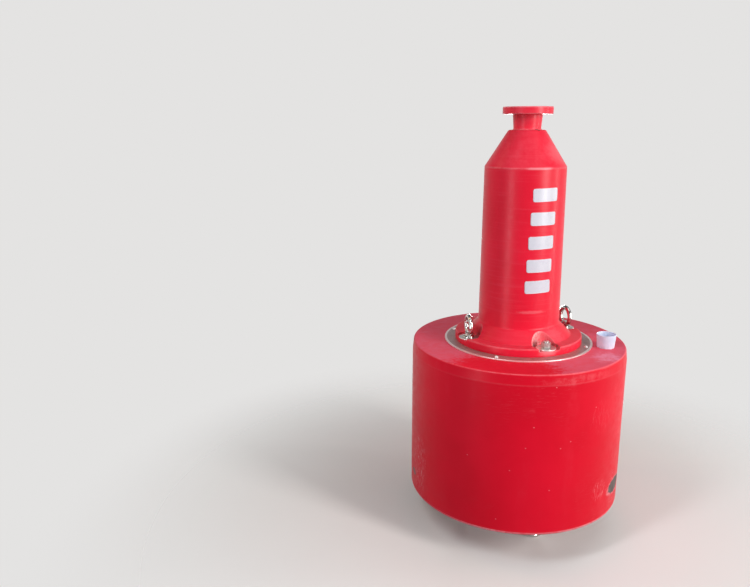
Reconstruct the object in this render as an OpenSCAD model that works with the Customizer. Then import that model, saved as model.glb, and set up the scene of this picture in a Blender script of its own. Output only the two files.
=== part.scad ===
// Moulded plastic navigation buoy: a drum float, a bolted-on tower with a
// lantern flange, and four through studs that clamp them between steel plates.
// It stands on its four mooring eyes. +Z is up and the floor is at z = 0.

/* [Float] */
// Outside diameter of the drum float
float_d = 800; // [700:10:1100]
// Height of the float from its flat bottom to its flat top
float_h = 590; // [400:5:800]
// Height of the tapered shoulder band below the top edge
shoulder_h = 38; // [20:1:80]
// How far the shoulder band draws in, on the radius
shoulder_in = 4; // [1:0.5:8]
// Radius of the float's top edge
float_top_r = 6; // [3:1:18]
// Radius of the float's bottom edge
float_bottom_r = 6; // [3:1:18]

/* [Steel plates] */
// Outside diameter of the ring plates
plate_d = 552; // [520:2:640]
// Inside diameter of the ring plates
plate_bore_d = 300; // [200:5:320]
// Thickness of the ring plates
plate_t = 5; // [3:0.5:10]

/* [Tower] */
// Diameter of the tower's foot flange
flange_d = 472; // [460:2:500]
// Height of the foot flange from its underside to its flat ledge
flange_t = 30; // [24:1:60]
// Radius of the ledge's outer edge
flange_edge_r = 5; // [2:1:12]
// Diameter of the sloping skirt where it meets the ledge
skirt_d = 390; // [370:2:410]
// Height of the sloping skirt above the ledge
skirt_h = 45; // [30:1:90]
// Radius of the hollow where the skirt runs into the tube
skirt_fillet_r = 8; // [3:1:20]
// Radius of the hollow where the ledge runs into the skirt
ledge_fillet_r = 5; // [2:1:12]
// Diameter of the tower tube above the skirt
tube_d = 300; // [240:2:310]
// Diameter of the tower tube below the cone
tube_top_d = 292; // [230:2:300]
// Height of the tube's top edge above the flange's underside
tube_h = 647; // [400:5:900]
// Height of the cone above the tube
cone_h = 128; // [80:1:200]
// Diameter of the cone's upper end
cone_top_d = 136; // [126:2:160]
// Radius of the rounded shoulder at the cone's upper end
cone_round_r = 9; // [4:1:11]

/* [Lantern flange] */
// Diameter of the neck just above the cone
neck_d = 96; // [80:1:104]
// Diameter of the neck under the lantern flange
neck_top_d = 105; // [90:1:112]
// Height of the neck between the cone's shoulder and the lantern flange
neck_h = 54; // [30:1:90]
// Diameter of the lantern flange
lantern_d = 177; // [170:1:220]
// Thickness of the lantern flange
lantern_t = 26; // [15:1:40]
// Radius of the lantern flange's edges
lantern_edge_r = 4; // [1:0.5:6]
// Pitch circle diameter of the lantern flange's holes
lantern_pcd = 141; // [138:1:148]
// Diameter of the lantern flange's holes
lantern_hole_d = 12; // [8:0.5:16]

/* [Studs and nuts] */
// Radius from the axis to the four through studs
stud_r = 205; // [198:1:212]
// Diameter of the studs
stud_d = 20; // [16:1:24]
// Width across the flats of the stud nuts
nut_af = 30; // [28:1:36]
// Height of the stud nuts
nut_h = 20; // [14:1:26]
// Height of the thin lock nuts on the mooring eyes
lock_h = 11; // [8:1:16]
// Diameter of the large washers
washer_d = 70; // [56:1:76]
// Thickness of the large washers
washer_t = 4; // [3:0.5:6]
// Length of bare thread between stud nut and lock nut at the bottom
bare_thread = 12; // [2:1:40]
// Length of stud that shows past a top nut
stud_proud = 5; // [1:1:12]
// Length of stud that shows past the bar, inside the ring of an eye nut
stud_tip = 6; // [1:1:10]
// Turn of the top nuts in degrees
nut_top_turn = 12; // [0:1:60]
// Turn of the bottom nuts in degrees
nut_bottom_turn = 0; // [0:1:60]
// Turn of the lock nuts in degrees
lock_turn = 20; // [0:1:60]
// Thickness of the foot flange under the washers
seat_t = 20; // [12:1:23]
// Diameter of the washer pockets at their floor
pocket_d = 94; // [80:1:98]
// Draft of the pocket walls in degrees
pocket_draft = 2; // [0.5:0.5:4]

/* [Eye nuts] */
// Height of an eye nut from its seat to the top of its ring
eye_h = 86; // [80:1:110]
// Diameter of the round bar of the ring
eye_bar_d = 17; // [12:0.5:20]
// Outside diameter of the ring
eye_d = 84; // [76:1:100]
// Diameter of the collar at its seat
collar_d = 44; // [40:1:54]
// Thickness of the collar's rim
collar_t = 5; // [3:0.5:7]
// Diameter of the neck between collar and ring
eye_neck_d = 27; // [25:0.5:32]
// Yaw of the left lifting eye in degrees
eye_left_yaw = 79; // [60:1:120]
// Yaw of the right lifting eye in degrees
eye_right_yaw = 88; // [60:1:120]

/* [Filler cap] */
// Share of the free band on the float's top that lies inside the filler cap
cap_inner_part = 15; // [5:1:60]
// Share of the free band on the float's top that lies outside the filler cap
cap_outer_part = 37; // [5:1:60]
// Angle of the filler cap round the axis in degrees
cap_angle = -36; // [-60:1:-20]
// Diameter of the cap at its base
cap_d = 62; // [50:1:66]
// Diameter of the cap at its rim
cap_top_d = 71; // [56:1:80]
// Height of the cap above the float
cap_h = 50; // [30:1:70]
// Width of the cap's rim
cap_rim = 3; // [2:0.5:8]
// Depth of the hollow in the cap
cap_dish = 38; // [10:1:42]
// Diameter of the cap's plug in the float
plug_d = 44; // [30:1:48]
// Length of the cap's plug
plug_l = 36; // [15:1:60]

/* [Hidden] */
$fn = 96;
// Running clearance between a stud or plug and the piece round it
clear = 0.3;
// Clearance of the studs in the float's and tower's holes
stud_clear = 1;
// How far cutters run past the faces they cut
eps = 1;
// Straight steps in a quarter or less of an arc
arc_steps = 6;
// Share of a nut's corners that its chamfers turn off
corner_share = 0.6;
// Chamfer on the edges of the filler cap's plug
plug_chamfer = 2;
// Chamfer on the edges of the filler cap's rim
cap_chamfer = 1;

float_r = float_d / 2;
// Radius of the flat part of the float's top
flat_r = float_r - shoulder_in - float_top_r;
flange_r = flange_d / 2;
skirt_r = skirt_d / 2;
lantern_r = lantern_d / 2;
eye_ring_r = (eye_d - eye_bar_d) / 2;
eye_centre_h = eye_h - eye_d / 2;
// The filler cap stands on the free band between the ring plate and the float's edge
cap_inner_gap = (flat_r - plate_d / 2 - cap_d) * cap_inner_part / (cap_inner_part + cap_outer_part);
cap_r = plate_d / 2 + cap_inner_gap + cap_d / 2;

z_lock = eye_h;
z_nut_bottom = z_lock + lock_h + bare_thread;
z_washer_bottom = z_nut_bottom + nut_h;
z_plate_bottom = z_washer_bottom + washer_t;
z_float = z_plate_bottom + plate_t;
z_plate_top = z_float + float_h;
z_tower = z_plate_top + plate_t;
z_seat = z_tower + seat_t;
z_nut_top = z_seat + washer_t;

// How far a stud's tip stands above the seat of an eye nut
tip_in = eye_centre_h - eye_ring_r + eye_bar_d / 2 + stud_tip;

// Points of an arc about (x, y), from angle a to angle b
function arc(x, y, r, a, b) =
    [for (i = [0 : arc_steps]) let (t = a + (b - a) * i / arc_steps) [x + r * cos(t), y + r * sin(t)]];

// Places a child at stud number i: 0 and 2 carry lifting eyes, 1 and 3 carry nuts
module at_stud(i) {
    rotate([0, 0, 90 * i])
        translate([stud_r, 0, 0])
            children();
}

module float_profile() {
    polygon(concat(
        [[0, 0]],
        arc(float_r - float_bottom_r, float_bottom_r, float_bottom_r, -90, 0),
        [[float_r, float_h - shoulder_h]],
        arc(flat_r, float_h - float_top_r, float_top_r, 0, 90),
        [[0, float_h]]
    ));
}

module float_body() {
    color("#D81830")
    translate([0, 0, z_float])
    difference() {
        rotate_extrude()
            float_profile();
        for (i = [0 : 3])
            at_stud(i)
                translate([0, 0, -eps])
                    cylinder(d = stud_d + 2 * stud_clear, h = float_h + 2 * eps);
        rotate([0, 0, cap_angle])
            translate([cap_r, 0, float_h - plug_l - eps])
                cylinder(d = plug_d + 2 * clear, h = plug_l + 2 * eps);
    }
}

module ring_plate() {
    color("#A9A6A4")
    difference() {
        cylinder(d = plate_d, h = plate_t);
        translate([0, 0, -eps])
            cylinder(d = plate_bore_d, h = plate_t + 2 * eps);
        for (i = [0 : 3])
            at_stud(i)
                translate([0, 0, -eps])
                    cylinder(d = stud_d + 2 * stud_clear, h = plate_t + 2 * eps);
    }
}

module ring_plate_top() {
    translate([0, 0, z_plate_top])
        ring_plate();
}

module ring_plate_bottom() {
    translate([0, 0, z_plate_bottom])
        ring_plate();
}

// Half section of the tower, from its flange to the lantern seat
module tower_profile() {
    // slope of the skirt and the hollows at its foot and head
    slope = atan2(skirt_h, skirt_r - tube_d / 2);
    foot_x = skirt_r + ledge_fillet_r * tan(slope / 2);
    head_x = tube_d / 2 + skirt_fillet_r;
    head_z = flange_t + skirt_h + skirt_fillet_r * tan((90 - slope) / 2);
    // slope of the cone and its rounded shoulder
    cone_r = cone_top_d / 2;
    cone_slope = atan2(cone_h - cone_round_r, tube_top_d / 2 - cone_r);
    z_cone = tube_h + cone_h;
    shoulder_x = cone_r - cone_round_r * sin(cone_slope);
    z_lantern = z_cone + neck_h;
    lantern_x = lantern_r - lantern_edge_r;
    polygon(concat(
        [[0, 0], [flange_r, 0]],
        arc(flange_r - flange_edge_r, flange_t - flange_edge_r, flange_edge_r, 0, 90),
        arc(foot_x, flange_t + ledge_fillet_r, ledge_fillet_r, 270, 270 - slope),
        arc(head_x, head_z, skirt_fillet_r, 270 - slope, 180),
        [[tube_top_d / 2, tube_h]],
        arc(shoulder_x, z_cone - cone_round_r, cone_round_r, 90 - cone_slope, 90),
        [[neck_d / 2, z_cone], [neck_top_d / 2, z_lantern]],
        arc(lantern_x, z_lantern + lantern_edge_r, lantern_edge_r, -90, 0),
        arc(lantern_x, z_lantern + lantern_t - lantern_edge_r, lantern_edge_r, 0, 90),
        [[0, z_lantern + lantern_t]]
    ));
}

module tower_body() {
    pocket_h = flange_t + skirt_h + skirt_fillet_r - seat_t;
    color("#E01C34")
    translate([0, 0, z_tower])
    difference() {
        rotate_extrude()
            tower_profile();
        for (i = [0 : 3])
            at_stud(i) {
                translate([0, 0, seat_t])
                    cylinder(d1 = pocket_d, d2 = pocket_d + 2 * pocket_h * tan(pocket_draft), h = pocket_h);
                translate([0, 0, -eps])
                    cylinder(d = stud_d + 2 * stud_clear, h = seat_t + 2 * eps);
            }
        for (i = [0 : 3])
            rotate([0, 0, 45 + 90 * i])
                translate([lantern_pcd / 2, 0, tube_h + cone_h + neck_h - eps])
                    cylinder(d = lantern_hole_d, h = lantern_t + 2 * eps);
    }
}

module stud(i, top) {
    z_bottom = eye_h - tip_in;
    color("#C4C6C8")
    at_stud(i)
        translate([0, 0, z_bottom])
            cylinder(d = stud_d, h = top - z_bottom);
}

module washer() {
    color("#C9CBCD")
    difference() {
        cylinder(d = washer_d, h = washer_t);
        translate([0, 0, -eps])
            cylinder(d = stud_d + 2 * clear, h = washer_t + 2 * eps);
    }
}

// Hexagon nut with its corners turned off at the top and bottom
module hex_nut(h, turn) {
    ac = nut_af / cos(30);
    chamfer = (ac - nut_af) / 2 * corner_share;
    color("#CDD0D2")
    rotate([0, 0, turn])
    difference() {
        intersection() {
            cylinder(d = ac, h = h, $fn = 6);
            rotate_extrude()
                polygon([
                    [0, 0], [ac / 2 - 2 * chamfer, 0], [ac / 2, chamfer],
                    [ac / 2, h - chamfer], [ac / 2 - 2 * chamfer, h], [0, h]
                ]);
        }
        translate([0, 0, -eps])
            cylinder(d = stud_d + 2 * clear, h = h + 2 * eps);
    }
}

// Forged eye nut, seat at z = 0, ring in the plane of its yaw
module eye_nut(yaw) {
    neck_r = (collar_d - eye_neck_d) / 2;
    color("#D4D6D8")
    rotate([0, 0, yaw])
    difference() {
        union() {
            translate([0, 0, eye_centre_h])
                rotate([90, 0, 0])
                    rotate_extrude()
                        translate([eye_ring_r, 0])
                            circle(d = eye_bar_d);
            rotate_extrude()
                polygon(concat(
                    [[0, 0], [collar_d / 2, 0]],
                    arc(collar_d / 2, collar_t + neck_r, neck_r, 270, 180),
                    [[eye_neck_d / 2, eye_bar_d], [0, eye_bar_d]]
                ));
        }
        translate([0, 0, -eps])
            cylinder(d = stud_d + 2 * clear, h = eye_centre_h);
    }
}

module stud_right() { stud(0, z_nut_top + tip_in); }
module stud_back() { stud(1, z_nut_top + nut_h + stud_proud); }
module stud_left() { stud(2, z_nut_top + tip_in); }
module stud_front() { stud(3, z_nut_top + nut_h + stud_proud); }

module top_washer(i) {
    at_stud(i)
        translate([0, 0, z_seat])
            washer();
}

module bottom_washer(i) {
    at_stud(i)
        translate([0, 0, z_washer_bottom])
            washer();
}

module washer_top_right() { top_washer(0); }
module washer_top_back() { top_washer(1); }
module washer_top_left() { top_washer(2); }
module washer_top_front() { top_washer(3); }
module washer_bottom_right() { bottom_washer(0); }
module washer_bottom_back() { bottom_washer(1); }
module washer_bottom_left() { bottom_washer(2); }
module washer_bottom_front() { bottom_washer(3); }

module top_nut(i) {
    at_stud(i)
        translate([0, 0, z_nut_top])
            hex_nut(nut_h, nut_top_turn);
}

module bottom_nut(i) {
    at_stud(i)
        translate([0, 0, z_nut_bottom])
            hex_nut(nut_h, nut_bottom_turn);
}

module lock_nut(i) {
    at_stud(i)
        translate([0, 0, z_lock])
            hex_nut(lock_h, lock_turn);
}

module nut_top_back() { top_nut(1); }
module nut_top_front() { top_nut(3); }
module nut_bottom_right() { bottom_nut(0); }
module nut_bottom_back() { bottom_nut(1); }
module nut_bottom_left() { bottom_nut(2); }
module nut_bottom_front() { bottom_nut(3); }
module lock_nut_right() { lock_nut(0); }
module lock_nut_back() { lock_nut(1); }
module lock_nut_left() { lock_nut(2); }
module lock_nut_front() { lock_nut(3); }

module lifting_eye(i, yaw) {
    at_stud(i)
        translate([0, 0, z_nut_top])
            rotate([0, 0, -90 * i])
                eye_nut(yaw);
}

module mooring_eye(i) {
    at_stud(i)
        translate([0, 0, eye_h])
            mirror([0, 0, 1])
                eye_nut(90);
}

module lifting_eye_right() { lifting_eye(0, eye_right_yaw); }
module lifting_eye_left() { lifting_eye(2, eye_left_yaw); }
module mooring_eye_right() { mooring_eye(0); }
module mooring_eye_back() { mooring_eye(1); }
module mooring_eye_left() { mooring_eye(2); }
module mooring_eye_front() { mooring_eye(3); }

// Cup-shaped plug, open at the top
module filler_cap() {
    rim_r = cap_top_d / 2;
    inner_r = rim_r - cap_rim;
    dish_r = inner_r - cap_dish * (cap_top_d - cap_d) / 2 / cap_h;
    plug_r = plug_d / 2;
    color("#E4E0EA")
    translate([0, 0, z_float + float_h])
    rotate([0, 0, cap_angle])
    translate([cap_r, 0, 0])
    rotate_extrude()
        polygon([
            [0, -plug_l], [plug_r - plug_chamfer, -plug_l], [plug_r, plug_chamfer - plug_l], [plug_r, 0],
            [cap_d / 2, 0], [rim_r, cap_h - cap_chamfer], [rim_r - cap_chamfer, cap_h],
            [inner_r + cap_chamfer, cap_h], [inner_r, cap_h - cap_chamfer],
            [dish_r, cap_h - cap_dish], [0, cap_h - cap_dish]
        ]);
}

float_body();
ring_plate_top();
ring_plate_bottom();
tower_body();
stud_right();
stud_back();
stud_left();
stud_front();
washer_top_right();
washer_top_back();
washer_top_left();
washer_top_front();
washer_bottom_right();
washer_bottom_back();
washer_bottom_left();
washer_bottom_front();
nut_top_back();
nut_top_front();
nut_bottom_right();
nut_bottom_back();
nut_bottom_left();
nut_bottom_front();
lock_nut_right();
lock_nut_back();
lock_nut_left();
lock_nut_front();
lifting_eye_right();
lifting_eye_left();
mooring_eye_right();
mooring_eye_back();
mooring_eye_left();
mooring_eye_front();
filler_cap();
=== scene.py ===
import math
import bmesh
import bpy
import numpy as np
from mathutils import Matrix, Vector, noise


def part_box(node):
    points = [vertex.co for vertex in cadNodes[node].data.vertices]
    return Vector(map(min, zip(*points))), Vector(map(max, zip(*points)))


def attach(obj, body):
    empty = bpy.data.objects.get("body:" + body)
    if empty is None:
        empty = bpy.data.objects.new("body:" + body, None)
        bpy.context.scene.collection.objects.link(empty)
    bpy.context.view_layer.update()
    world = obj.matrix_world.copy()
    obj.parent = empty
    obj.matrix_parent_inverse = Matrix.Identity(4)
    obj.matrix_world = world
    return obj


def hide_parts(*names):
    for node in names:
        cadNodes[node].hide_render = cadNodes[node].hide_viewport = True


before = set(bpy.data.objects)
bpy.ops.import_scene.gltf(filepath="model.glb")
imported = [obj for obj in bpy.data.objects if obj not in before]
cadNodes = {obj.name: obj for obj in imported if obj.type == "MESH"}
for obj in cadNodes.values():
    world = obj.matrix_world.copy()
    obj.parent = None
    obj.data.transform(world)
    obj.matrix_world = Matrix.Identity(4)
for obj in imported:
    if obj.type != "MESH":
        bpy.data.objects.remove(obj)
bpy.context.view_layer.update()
print("frame loaded with", len(cadNodes), "solids")

millimetre = 0.001
studCircle = 205.0                # radius of the circle that the four studs stand on, in millimetres

# Small helpers for colours, nodes and meshes


def hexToLinear(text):
    # an sRGB hex value as the linear colour that shaders take
    parts = [int(text[i:i + 2], 16) / 255 for i in (1, 3, 5)]
    linear = [p / 12.92 if p <= 0.04045 else ((p + 0.055) / 1.055) ** 2.4 for p in parts]
    return (*linear, 1.0)


def addNode(tree, kind, inputs=None, **settings):
    # adds a node, sets its properties, then fills or links its input sockets
    made = tree.nodes.new(kind)
    for name, value in settings.items():
        setattr(made, name, value)
    for socket, value in (inputs or {}).items():
        if isinstance(value, bpy.types.NodeSocket):
            tree.links.new(value, made.inputs[socket])
        else:
            made.inputs[socket].default_value = value
    return made


def startMaterial(name):
    material = bpy.data.materials.new(name)
    material.use_nodes = True
    material.node_tree.nodes.clear()
    return material, material.node_tree


def closeMaterial(tree, shader):
    addNode(tree, "ShaderNodeOutputMaterial", {"Surface": shader.outputs[0]})


def makeObject(name, vertices, faces, material):
    mesh = bpy.data.meshes.new(name)
    mesh.from_pydata(vertices, [], faces)
    mesh.validate()
    mesh.materials.append(material)
    mesh.shade_smooth()
    made = bpy.data.objects.new(name, mesh)
    bpy.context.scene.collection.objects.link(made)
    return made


def finishPiece(piece, slot, *nodes):
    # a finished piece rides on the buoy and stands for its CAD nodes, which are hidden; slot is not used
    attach(piece, "root")
    if nodes:
        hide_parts(*nodes)
    print("made", piece.name, "with", len(piece.data.polygons), "faces")


def nodeHeights(node):
    # lowest and highest point of a CAD node, in millimetres
    return [corner.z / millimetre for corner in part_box(node)]


def onCircle(radius, angle, height):
    return radius * math.cos(angle), radius * math.sin(angle), height


def arcPoints(x, z, radius, fromDegrees, toDegrees, steps):
    # points of an arc in the (radius, height) half plane
    angles = np.radians(np.linspace(fromDegrees, toDegrees, steps + 1))
    return [(x + radius * math.cos(a), z + radius * math.sin(a)) for a in angles]


def finePoints(profile, step):
    # the same outline with no straight stretch longer than step
    fine = [profile[0]]
    for (x0, z0), (x1, z1) in zip(profile, profile[1:]):
        count = max(1, math.ceil(math.hypot(x1 - x0, z1 - z0) / step - 1e-6))
        fine += [(x0 + (x1 - x0) * i / count, z0 + (z1 - z0) * i / count) for i in range(1, count + 1)]
    return fine


def latheMesh(profile, sides, pull=None):
    # turns an outline round the axis: one from axis to axis makes a full body, any other a ring.
    # The outline runs counter-clockwise, and pull(angle, radius, height) draws points inwards
    points = [p for p in profile if p[0] > 1e-7]
    isRing = len(points) == len(profile)
    angles = [2 * math.pi * i / sides for i in range(sides)]
    vertices, faces = [], []
    for radius, height in points:
        for angle in angles:
            reach = radius - (pull(angle, radius, height) if pull else 0.0)
            vertices.append(onCircle(reach, angle, height))
    rows = len(points)
    for row in range(rows if isRing else rows - 1):
        low, high = row * sides, (row + 1) % rows * sides
        for i in range(sides):
            j = (i + 1) % sides
            faces.append((low + i, low + j, high + j, high + i))
    if not isRing:
        top = (rows - 1) * sides
        vertices += [(0, 0, profile[0][1]), (0, 0, profile[-1][1])]
        for i in range(sides):
            faces.append((rows * sides, (i + 1) % sides, i))
            faces.append((rows * sides + 1, top + i, top + (i + 1) % sides))
    return vertices, faces


def roundedOutline(corners, steps=5):
    # corners are (radius, height, rounding); a rounding becomes an arc that touches both sides
    outline = []
    for i, (x, z, rounding) in enumerate(corners):
        if not rounding:
            outline.append((x, z))
            continue
        here = Vector((x, z))
        before = (Vector(corners[i - 1][:2]) - here).normalized()
        after = (Vector(corners[(i + 1) % len(corners)][:2]) - here).normalized()
        half = before.angle(after) / 2
        centre = here + (before + after).normalized() * (rounding / math.sin(half))
        start = here + before * (rounding / math.tan(half)) - centre
        end = here + after * (rounding / math.tan(half)) - centre
        first = math.atan2(start.y, start.x)
        sweep = (math.atan2(end.y, end.x) - first + math.pi) % (2 * math.pi) - math.pi
        outline += [(centre.x + rounding * math.cos(first + sweep * k / steps),
                     centre.y + rounding * math.sin(first + sweep * k / steps)) for k in range(steps + 1)]
    return outline


def guarded(outline, gap, isLoop=False):
    # adds a point close to both ends of every long stretch, so that flats shade flat
    ends = outline[1:] + outline[:1] if isLoop else outline[1:]
    longStretch = 5 * gap
    kept = []
    for (x0, z0), (x1, z1) in zip(outline, ends):
        length = math.hypot(x1 - x0, z1 - z0)
        kept.append((x0, z0))
        if length > longStretch:
            kept += [(x0 + (x1 - x0) * t, z0 + (z1 - z0) * t) for t in (gap / length, 1 - gap / length)]
    return kept if isLoop else kept + [outline[-1]]


def roundedRing(inner, outer, low, high, outerEdge):
    # outline of a flat ring, in millimetres, with rounded edges
    innerEdge, steps = 0.4, 3
    return (arcPoints(outer - outerEdge, low + outerEdge, outerEdge, -90, 0, steps)
            + arcPoints(outer - outerEdge, high - outerEdge, outerEdge, 0, 90, steps)
            + arcPoints(inner + innerEdge, high - innerEdge, innerEdge, 90, 180, steps)
            + arcPoints(inner + innerEdge, low + innerEdge, innerEdge, 180, 270, steps))


def inMetres(points):
    return [tuple(value * millimetre for value in point) for point in points]


def plainMesh(piece):
    # the piece with its modifiers applied, as a plain mesh
    graph = bpy.context.evaluated_depsgraph_get()
    mesh = bpy.data.meshes.new_from_object(piece.evaluated_get(graph))
    old = piece.data
    piece.modifiers.clear()
    piece.data = mesh
    bpy.data.meshes.remove(old)
    mesh.name = piece.name
    return piece


def weld(mesh, distance):
    # joins points that lie on each other and drops those that no face uses
    tidy = bmesh.new()
    tidy.from_mesh(mesh)
    bmesh.ops.remove_doubles(tidy, verts=tidy.verts, dist=distance)
    bmesh.ops.delete(tidy, geom=[v for v in tidy.verts if not v.link_faces], context="VERTS")
    bmesh.ops.recalc_face_normals(tidy, faces=tidy.faces)
    tidy.to_mesh(mesh)
    tidy.free()


def smoothLeast(a, b, width):
    # the lesser of two distances, with a rounded hollow of about this width
    blend = np.clip(0.5 + 0.5 * (b - a) / width, 0, 1)
    return b * (1 - blend) + a * blend - width * blend * (1 - blend)


def smoothMost(a, b, width):
    return -smoothLeast(-a, -b, width)


def settle(points, distance, rounds):
    # moves points along the slope of a distance field until they lie on its surface
    step, leastSlope = 0.02, 1e-4
    for _ in range(rounds):
        value = distance(points)
        slope = np.stack([
            distance(points + offset) - distance(points - offset) for offset in np.eye(3) * step
        ], axis=1) / (2 * step)
        points = points - slope * (value / np.maximum((slope ** 2).sum(axis=1), leastSlope))[:, None]
    return points


# Camera, at the photo's viewing angle

camera = {
    "frameWidth": 750,
    "sensorMillimetres": 36.0,
    "focalPixels": 694.6,
    "position": (-1.2850, -2.2638, 1.5320),
    "headingDegrees": 17.5,       # from +Y towards +X
    "pitchDownDegrees": 13.76,
    "rollDegrees": -0.2,
    "clipEnd": 200.0,
}


def makeCamera():
    pitch = math.radians(camera["pitchDownDegrees"])
    roll = math.radians(camera["rollDegrees"])
    forward = Vector((0, math.cos(pitch), -math.sin(pitch)))
    right = Vector((1, 0, 0))
    up = right.cross(forward)
    rolledRight = math.cos(roll) * right + math.sin(roll) * up
    rolledUp = math.cos(roll) * up - math.sin(roll) * right
    turn = Matrix.Rotation(-math.radians(camera["headingDegrees"]), 3, "Z")
    axes = Matrix([turn @ rolledRight, turn @ rolledUp, -(turn @ forward)]).transposed()
    data = bpy.data.cameras.new("photoCamera")
    data.sensor_width = camera["sensorMillimetres"]
    data.sensor_fit = "HORIZONTAL"
    data.lens = camera["focalPixels"] / camera["frameWidth"] * camera["sensorMillimetres"]
    data.clip_end = camera["clipEnd"]
    made = bpy.data.objects.new("photoCamera", data)
    made.matrix_world = Matrix.Translation(camera["position"]) @ axes.to_4x4()
    bpy.context.scene.collection.objects.link(made)
    bpy.context.scene.camera = made


makeCamera()
bpy.context.scene.view_settings.view_transform = "Standard"
print("camera placed")


# Floor, backdrop and lamps

stage = {
    "floorColour": "#E9E7E4",
    "bounceColour": "#6C6A68",    # how much light the floor throws back on the buoy
    "floorRadius": 30.0,
    "floorSides": 64,
    "fadeFrom": 0.6,              # the floor fades into the backdrop between these radii
    "fadeTo": 1.9,
    "backdropColour": "#E4E3E2",
    "zenithColour": "#5E6064",    # what polished metal sees overhead
    "skyFrom": 0.1,               # the backdrop darkens between these heights of the line of sight
    "skyTo": 0.6,
    "softLight": "#F2F4F8",
    "softStrength": 0.09,
}


def makeFloor():
    material, tree = startMaterial("studio floor, matt paint")
    place = addNode(tree, "ShaderNodeTexCoord")
    distance = addNode(tree, "ShaderNodeVectorMath", {0: place.outputs["Object"]}, operation="LENGTH")
    fade = addNode(tree, "ShaderNodeMapRange", {
        "Value": distance.outputs["Value"], "From Min": stage["fadeFrom"], "From Max": stage["fadeTo"],
    }, interpolation_type="SMOOTHSTEP")
    ray = addNode(tree, "ShaderNodeLightPath")
    tone = addNode(tree, "ShaderNodeMix", {
        0: ray.outputs["Is Diffuse Ray"],
        6: hexToLinear(stage["floorColour"]), 7: hexToLinear(stage["bounceColour"]),
    }, data_type="RGBA")
    matt = addNode(tree, "ShaderNodeBsdfDiffuse", {"Color": tone.outputs[2]})
    clear = addNode(tree, "ShaderNodeBsdfTransparent")
    closeMaterial(tree, addNode(tree, "ShaderNodeMixShader", {
        0: fade.outputs["Result"], 1: matt.outputs[0], 2: clear.outputs[0],
    }))
    radius, sides = stage["floorRadius"], stage["floorSides"]
    angles = np.linspace(0, 2 * math.pi, sides, endpoint=False)
    rim = [onCircle(radius, angle, 0) for angle in angles]
    makeObject("studioFloor", rim, [tuple(range(sides))], material)


def makeWorld():
    world = bpy.data.worlds.new("studioWorld")
    world.use_nodes = True
    tree = world.node_tree
    tree.nodes.clear()
    place = addNode(tree, "ShaderNodeTexCoord")
    split = addNode(tree, "ShaderNodeSeparateXYZ", {0: place.outputs["Generated"]})
    height = addNode(tree, "ShaderNodeMapRange", {
        "Value": split.outputs["Z"], "From Min": stage["skyFrom"], "From Max": stage["skyTo"],
    }, interpolation_type="SMOOTHSTEP")
    backdrop = hexToLinear(stage["backdropColour"])
    sky = addNode(tree, "ShaderNodeMix", {
        0: height.outputs["Result"], 6: backdrop, 7: hexToLinear(stage["zenithColour"]),
    }, data_type="RGBA")
    ray = addNode(tree, "ShaderNodeLightPath")
    mirrored = addNode(tree, "ShaderNodeMath", {
        0: ray.outputs["Is Glossy Ray"], 1: ray.outputs["Is Transmission Ray"],
    }, operation="MAXIMUM")
    flat = addNode(tree, "ShaderNodeBackground", {"Color": backdrop, "Strength": 1.0})
    seen = addNode(tree, "ShaderNodeBackground", {"Color": sky.outputs[2], "Strength": 1.0})
    soft = addNode(tree, "ShaderNodeBackground", {
        "Color": hexToLinear(stage["softLight"]), "Strength": stage["softStrength"],
    })
    lit = addNode(tree, "ShaderNodeMixShader", {
        0: mirrored.outputs[0], 1: soft.outputs[0], 2: seen.outputs[0],
    })
    whole = addNode(tree, "ShaderNodeMixShader", {
        0: ray.outputs["Is Camera Ray"], 1: lit.outputs[0], 2: flat.outputs[0],
    })
    addNode(tree, "ShaderNodeOutputWorld", {"Surface": whole.outputs[0]})
    bpy.context.scene.world = world


# Each lamp: degrees round the buoy, distance, height, width, tall, watts and colour
lamps = {
    "keyRight": (300, 5.0, 2.3, 1.1, 3.2, 242, "#FFFAF8"),
    "sideRight": (338, 3.6, 1.0, 0.35, 1.8, 24, "#FFFAF8"),
    "fillLeft": (208, 2.0, 2.6, 0.4, 1.0, 22, "#F4F8FF"),
    "sheenLeft": (205, 2.6, 0.8, 0.35, 1.3, 12, "#F4F8FF"),
    "rimBackLeft": (150, 2.0, 2.3, 0.3, 1.4, 5, "#FFD3A0"),
    "fillBack": (62, 3.4, 0.45, 1.0, 0.7, 55, "#FFFFFF"),
    "overhead": (330, 1.2, 6.0, 4.0, 4.0, 64, "#FFFFFF"),
}
lampAim = Vector((0, 0, 0.8))


def makeLamps():
    for name, (degrees, distance, height, width, tall, watts, colour) in lamps.items():
        data = bpy.data.lights.new(name, "AREA")
        data.shape = "RECTANGLE"
        data.size = width
        data.size_y = tall
        data.energy = watts
        data.color = hexToLinear(colour)[:3]
        made = bpy.data.objects.new(name, data)
        made.location = onCircle(distance, math.radians(degrees), height)
        made.rotation_euler = (lampAim - made.location).to_track_quat("-Z", "Y").to_euler()
        bpy.context.scene.collection.objects.link(made)


makeFloor()
makeWorld()
makeLamps()
print("floor, backdrop and lamps ready")


# Materials. Each names what the real surface is made of and how it was made. A finish gives, with
# sizes in millimetres:
#   measures  what its layers need to know of a place, beside the grains
#   grains    uneven patterns: width of the spots, detail, roughness, how much they are drawn out
#             along each axis and by how many degrees they are turned
#   edges     lines round the axis: radius, height, width over which they fade
#   spots     places on a wall: degrees, radius, height, half width and half height, then the grain
#             that makes the outline ragged, where it starts and is full, and how deep it reaches
#   masks     limits that go together under one name
#   layers    colours laid over the pigment in turn: colour, strength, limits
#   gloss     roughness, its grain, how much smoother and rougher it gets, masks that make it duller
#   bumps     what rises and how high, or how deep if negative
#   shader    what is the same all over
# A limit is a mask's name, or a measure, its values where the layer starts and is full, and what the
# layer has there if not 0 and 1


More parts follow.
